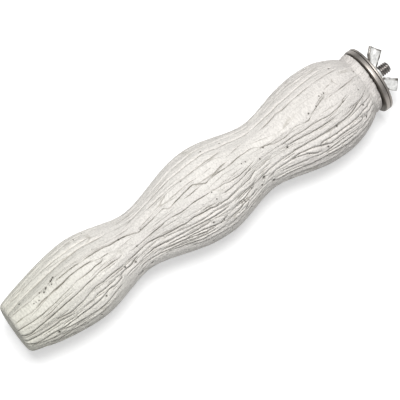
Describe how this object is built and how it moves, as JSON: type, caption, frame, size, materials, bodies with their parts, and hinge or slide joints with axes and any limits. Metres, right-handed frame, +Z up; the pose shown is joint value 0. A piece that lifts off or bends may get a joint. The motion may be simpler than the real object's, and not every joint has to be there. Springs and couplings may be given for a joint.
{
  "type": "cage bird perch",
  "caption": "Wavy cast mineral perch with bark-like furrows, and a bolt, wide washers and a wing nut at one end that clamp it to cage wires.",
  "frame": {"origin": "on the perch's axis, in the plane between the two washers, where the cage wires are clamped", "axes": "+X along the perch from the washers to the free tip, the stud points along -X, +Z up as the perch lies in the picture"},
  "size_m": [0.2466, 0.0518, 0.0514],
  "materials": {
    "cast_mineral": "matte, chalky",
    "core_wood": "bare",
    "bolt_steel": "zinc plated",
    "washer_steel": "satin",
    "nut_zinc": "bright zinc"
  },
  "bodies": {
    "perch": {"cast_body": "cast_mineral", "dowel_core": "core_wood", "hanger_bolt": "bolt_steel"},
    "inner_washer": {"inner_washer": "washer_steel"},
    "outer_washer": {"outer_washer": "washer_steel"},
    "wing_nut": {"wing_nut": "nut_zinc"}
  },
  "joints": [
    {"name": "inner_washer_spin", "type": "hinge", "parent": "perch", "child": "inner_washer", "pos_m": [0, 0, 0], "axis": [1, 0, 0], "continuous": true},
    {"name": "outer_washer_slide", "type": "slide", "parent": "perch", "child": "outer_washer", "axis": [-1, 0, 0], "range_m": [0, 0.014]},
    {"name": "wing_nut_spin", "type": "hinge", "parent": "outer_washer", "child": "wing_nut", "pos_m": [-0.0014, 0, 0], "axis": [-1, 0, 0], "range_deg": [0, 3960]}
  ],
  "couplings": [
    {"joint": "outer_washer_slide", "follows": "wing_nut_spin", "m_per_rad": 0.00020213}
  ]
}
